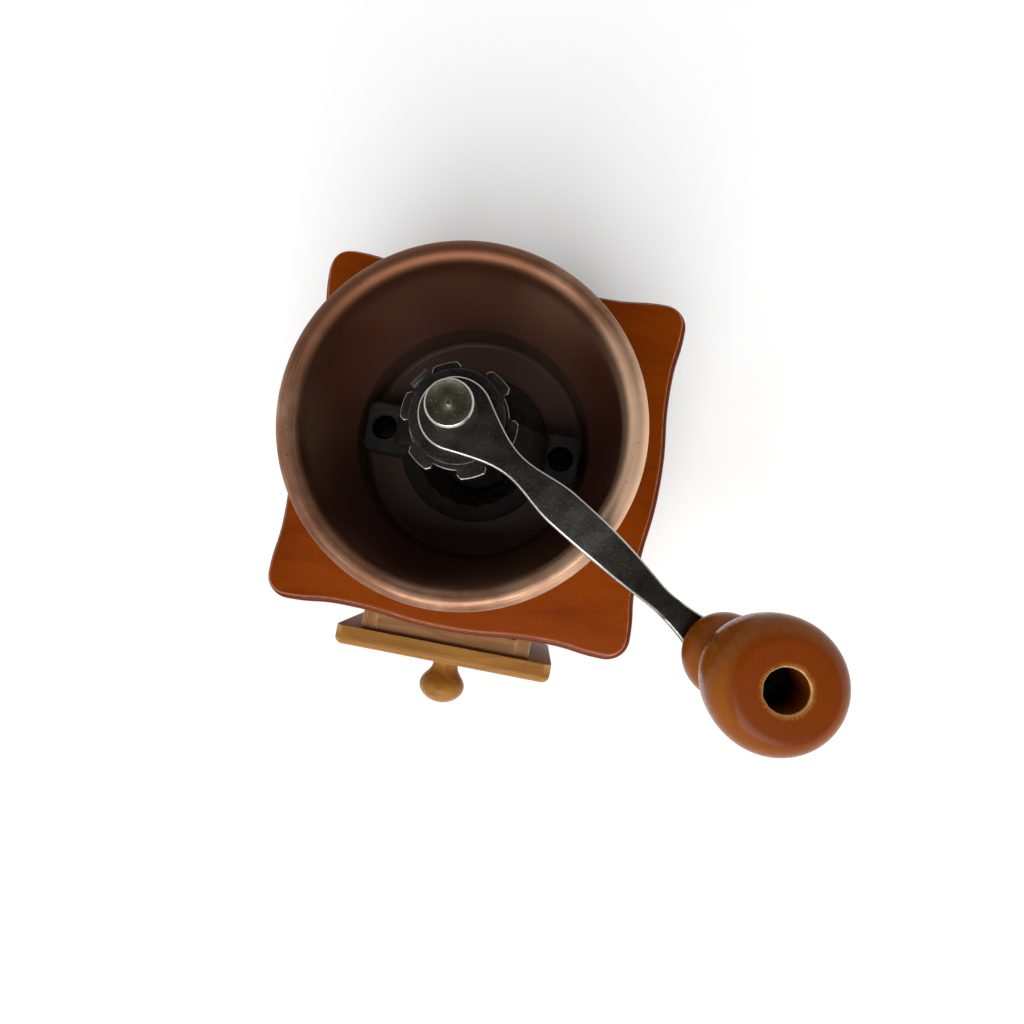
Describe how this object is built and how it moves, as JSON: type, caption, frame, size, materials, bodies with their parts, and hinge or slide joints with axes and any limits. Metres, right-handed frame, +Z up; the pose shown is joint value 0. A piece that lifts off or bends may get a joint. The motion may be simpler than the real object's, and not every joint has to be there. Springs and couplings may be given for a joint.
{
  "type": "manual coffee grinder",
  "caption": "Wooden box coffee mill with an open copper hopper, an iron bridge bearing, a long crank arm with a turned grip, and a drawer below.",
  "frame": {"origin": "centre of the base board's underside, on the mill axis", "axes": "+Z up along the mill axis, -Y towards the drawer's front, +X to the right seen from the drawer"},
  "size_m": [0.1762, 0.1798, 0.19],
  "materials": {
    "varnished_wood": "orange-brown varnish over open grain, worn at the edges",
    "pale_wood": "bare wood, aged",
    "drawer_wood": "yellow-brown wood with a thin satin varnish",
    "turned_wood": "turned and varnished, chipped at the sink",
    "aged_copper": "satin spun copper, darkened inside",
    "black_iron": "dark cast iron, oiled by beans",
    "forged_iron": "forged iron, dark and smooth with bright worn edges",
    "screw_steel": "dull steel"
  },
  "bodies": {
    "housing": {"base_board": "varnished_wood", "top_board": "varnished_wood", "case_left": "varnished_wood", "case_right": "varnished_wood", "case_back": "varnished_wood", "case_front": "varnished_wood", "base_screw_1": "screw_steel", "base_screw_2": "screw_steel", "base_screw_3": "screw_steel", "base_screw_4": "screw_steel", "dowel_1": "pale_wood", "dowel_2": "pale_wood", "dowel_3": "pale_wood", "dowel_4": "pale_wood", "runner_left": "pale_wood", "runner_right": "pale_wood", "hopper": "aged_copper", "bridge": "black_iron", "bridge_screw_left": "screw_steel", "bridge_screw_right": "screw_steel", "bridge_washer_left": "screw_steel", "bridge_washer_right": "screw_steel", "bridge_nut_left": "screw_steel", "bridge_nut_right": "screw_steel", "outer_burr": "black_iron", "bearing_bar": "forged_iron", "bar_screw_left": "screw_steel", "bar_screw_right": "screw_steel"},
    "crank": {"spindle": "forged_iron", "inner_burr": "black_iron", "burr_pin": "screw_steel", "spindle_spring": "screw_steel", "thrust_washer": "screw_steel", "adjusting_wheel": "forged_iron", "lock_disc": "forged_iron", "crank_arm": "forged_iron", "cap_nut": "forged_iron", "handle_screw": "screw_steel", "handle_washer": "screw_steel"},
    "grip": {"handle_knob": "turned_wood"},
    "drawer": {"drawer_front": "drawer_wood", "drawer_inner_front": "drawer_wood", "drawer_side_left": "drawer_wood", "drawer_side_right": "drawer_wood", "drawer_back": "drawer_wood", "drawer_bottom": "drawer_wood", "drawer_knob": "turned_wood", "drawer_knob_screw": "screw_steel"}
  },
  "joints": [
    {"name": "crank_turn", "type": "hinge", "parent": "housing", "child": "crank", "pos_m": [0, 0, 0.15], "axis": [0, 0, -1], "continuous": true},
    {"name": "knob_spin", "type": "hinge", "parent": "crank", "child": "grip", "pos_m": [0.08735, -0.05248, 0.16], "axis": [0, 0, 1], "continuous": true},
    {"name": "drawer_slide", "type": "slide", "parent": "housing", "child": "drawer", "axis": [0, -1, 0], "range_m": [-0.021, 0.061]}
  ]
}
